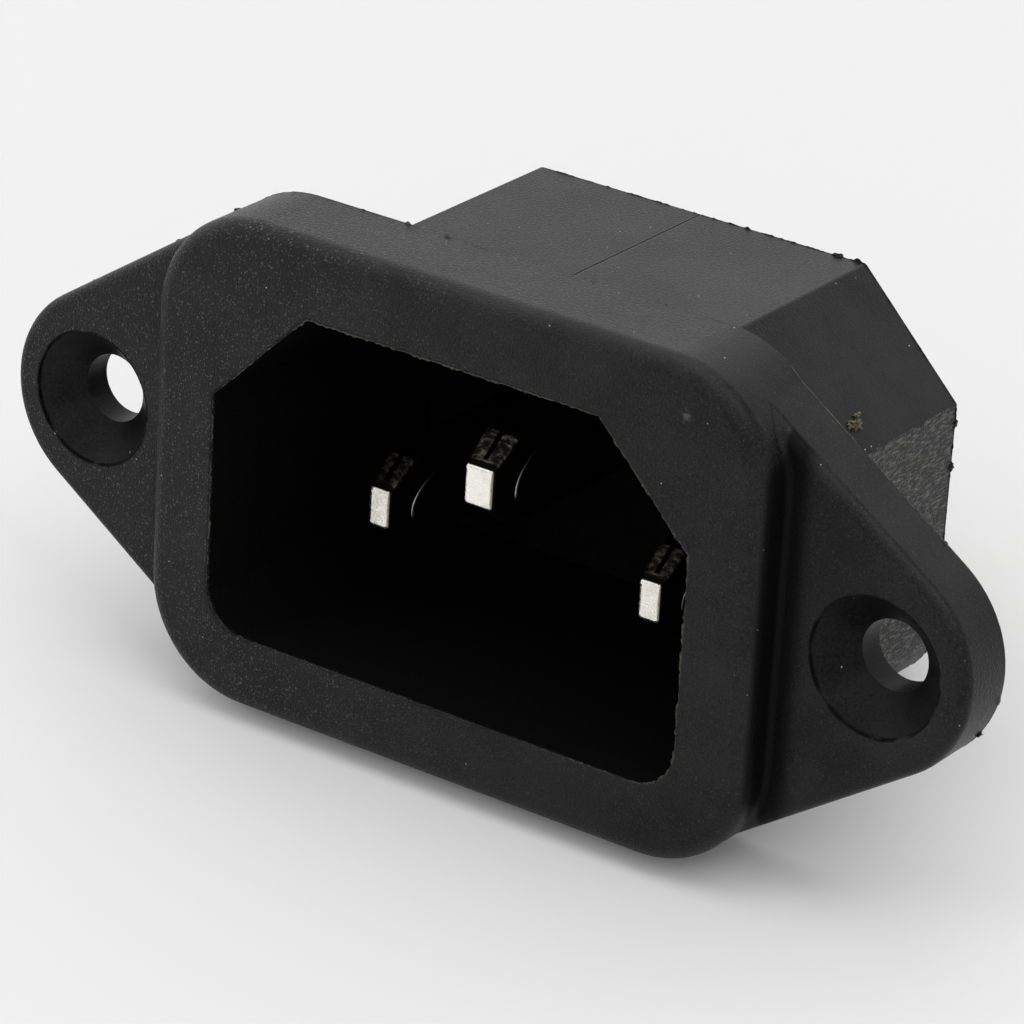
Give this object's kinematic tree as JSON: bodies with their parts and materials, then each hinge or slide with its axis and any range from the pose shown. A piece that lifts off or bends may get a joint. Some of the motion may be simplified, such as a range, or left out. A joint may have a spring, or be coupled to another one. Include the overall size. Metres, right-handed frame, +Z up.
{
  "type": "appliance inlet",
  "caption": "Panel-mount appliance inlet: black moulded housing with countersunk screw wings, a raised collar round a keyed socket, bright contact pins and blade tabs behind.",
  "frame": {"origin": "middle of the face that seats on the panel, halfway between the two screw holes", "axes": "+X to the right seen from the front, along the line of the screw holes; +Y into the panel, along the screws; +Z up, towards the earth pin"},
  "size_m": [0.0486, 0.0267, 0.0222],
  "materials": {
    "housing_plastic": "near-black moulding with a fine spark-eroded grain",
    "pin_plating": "bright plated strip with shear marks on its edges"
  },
  "bodies": {
    "root": {"housing": "housing_plastic", "line_pin": "pin_plating", "neutral_pin": "pin_plating", "earth_pin": "pin_plating"}
  },
  "joints": []
}
